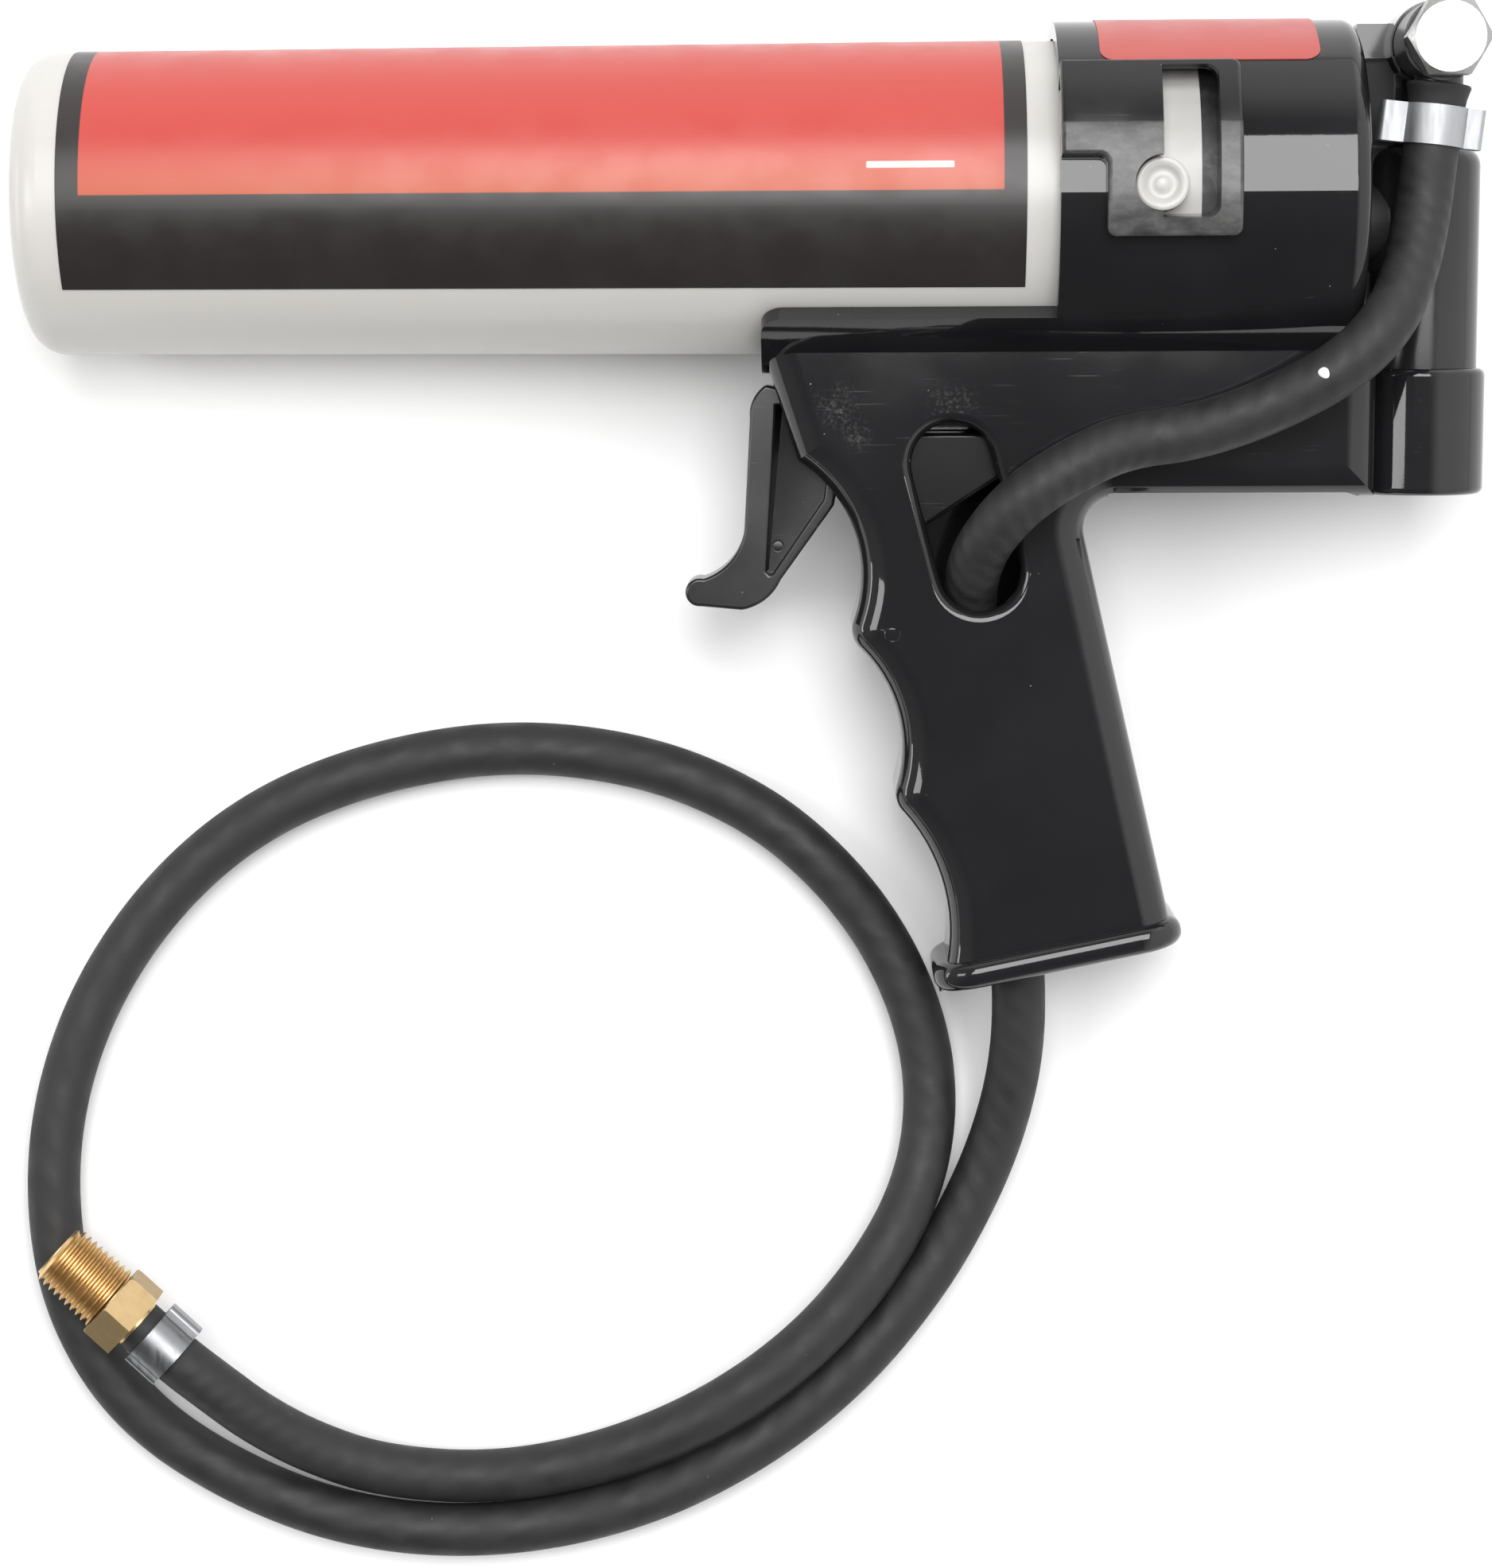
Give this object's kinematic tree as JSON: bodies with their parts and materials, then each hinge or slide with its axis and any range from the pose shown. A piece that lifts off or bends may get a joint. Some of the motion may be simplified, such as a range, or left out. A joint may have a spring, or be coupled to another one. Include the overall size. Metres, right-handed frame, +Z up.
{
  "type": "caulking gun",
  "caption": "Air-powered caulking gun lying on its side: cartridge barrel in a bayonet collar, hollow pistol grip with trigger and valve, and a loose rubber hose with a brass pipe fitting.",
  "frame": {"origin": "on the table under the middle of the gun's box, the hose left out", "axes": "+X to the gun's rear, along the barrel; +Y to the top of the gun, away from the grip; +Z up from the table, out of the gun's left side"},
  "size_m": [0.2819, 0.3, 0.074],
  "materials": {
    "body_gloss": "high gloss black moulding",
    "sticker_film": "plain red film, semi-gloss",
    "barrel_natural": "natural off-white moulding, slightly translucent",
    "pin_steel": "turned steel",
    "label_film": "red film with a black border, semi-gloss",
    "seal_rubber": "smooth black rubber",
    "plate_metal": "turned aluminium",
    "spring_steel": "drawn wire",
    "trigger_satin": "satin black moulding",
    "lever_plastic": "satin black moulding",
    "column_plastic": "gloss black moulding",
    "valve_brass": "turned brass",
    "hex_nickel": "nickel plated",
    "washer_metal": "soft sealing washer",
    "banjo_plastic": "semi-gloss black moulding",
    "hose_rubber": "matte charcoal rubber",
    "clamp_zinc": "bright zinc plated band",
    "fitting_brass": "bright machined brass"
  },
  "bodies": {
    "body": {"main_body": "body_gloss", "collar_sticker": "sticker_film", "trigger_pin": "pin_steel", "lever_pin": "pin_steel", "valve_column": "column_plastic", "spool_guide": "valve_brass", "valve_spring": "spring_steel", "lock_spring": "spring_steel", "transfer_tube": "valve_brass", "transfer_o_ring": "seal_rubber", "banjo_bolt": "hex_nickel", "banjo_washers": "washer_metal", "banjo_fitting": "banjo_plastic", "air_hose": "hose_rubber", "hose_clamp_top": "clamp_zinc", "hose_clamp_end": "clamp_zinc", "brass_fitting": "fitting_brass"},
    "barrel": {"barrel": "barrel_natural", "barrel_pins": "barrel_natural", "barrel_label": "label_film", "barrel_gasket": "seal_rubber", "seal_plate": "plate_metal", "plate_o_ring": "seal_rubber"},
    "trigger": {"trigger": "trigger_satin"},
    "lever": {"rocker_lever": "lever_plastic"},
    "spool": {"valve_spool": "valve_brass", "spool_o_rings": "seal_rubber"}
  },
  "joints": [
    {"name": "barrel_push", "type": "slide", "parent": "body", "child": "barrel", "axis": [0.9992, 0, 0.0405], "range_m": [0, 0.00515], "stiffness_N_per_m": 6000, "springref_m": -0.004, "deforming": ["lock_spring"]},
    {"name": "trigger_pull", "type": "hinge", "parent": "body", "child": "trigger", "pos_m": [0.01351, 0.01632, 0.02944], "axis": [-0.0402, -0.1225, 0.9917], "range_deg": [0, 14], "stiffness_Nm_per_rad": 0.8, "springref_deg": -14.32, "deforming": ["valve_spring"]},
    {"name": "lever_rock", "type": "hinge", "parent": "body", "child": "lever", "pos_m": [0.06449, 0.01384, 0.0312], "axis": [-0.0402, -0.1225, 0.9917], "range_deg": [-5.1, 0], "deforming": ["valve_spring"]},
    {"name": "spool_slide", "type": "slide", "parent": "body", "child": "spool", "axis": [-0.005, 0.9925, 0.1224], "range_m": [-0.0055, 0], "deforming": ["valve_spring"]}
  ],
  "couplings": [
    {"joint": "lever_rock", "follows": "trigger_pull", "ratio": -0.36},
    {"joint": "spool_slide", "follows": "trigger_pull", "m_per_rad": -0.022464}
  ]
}
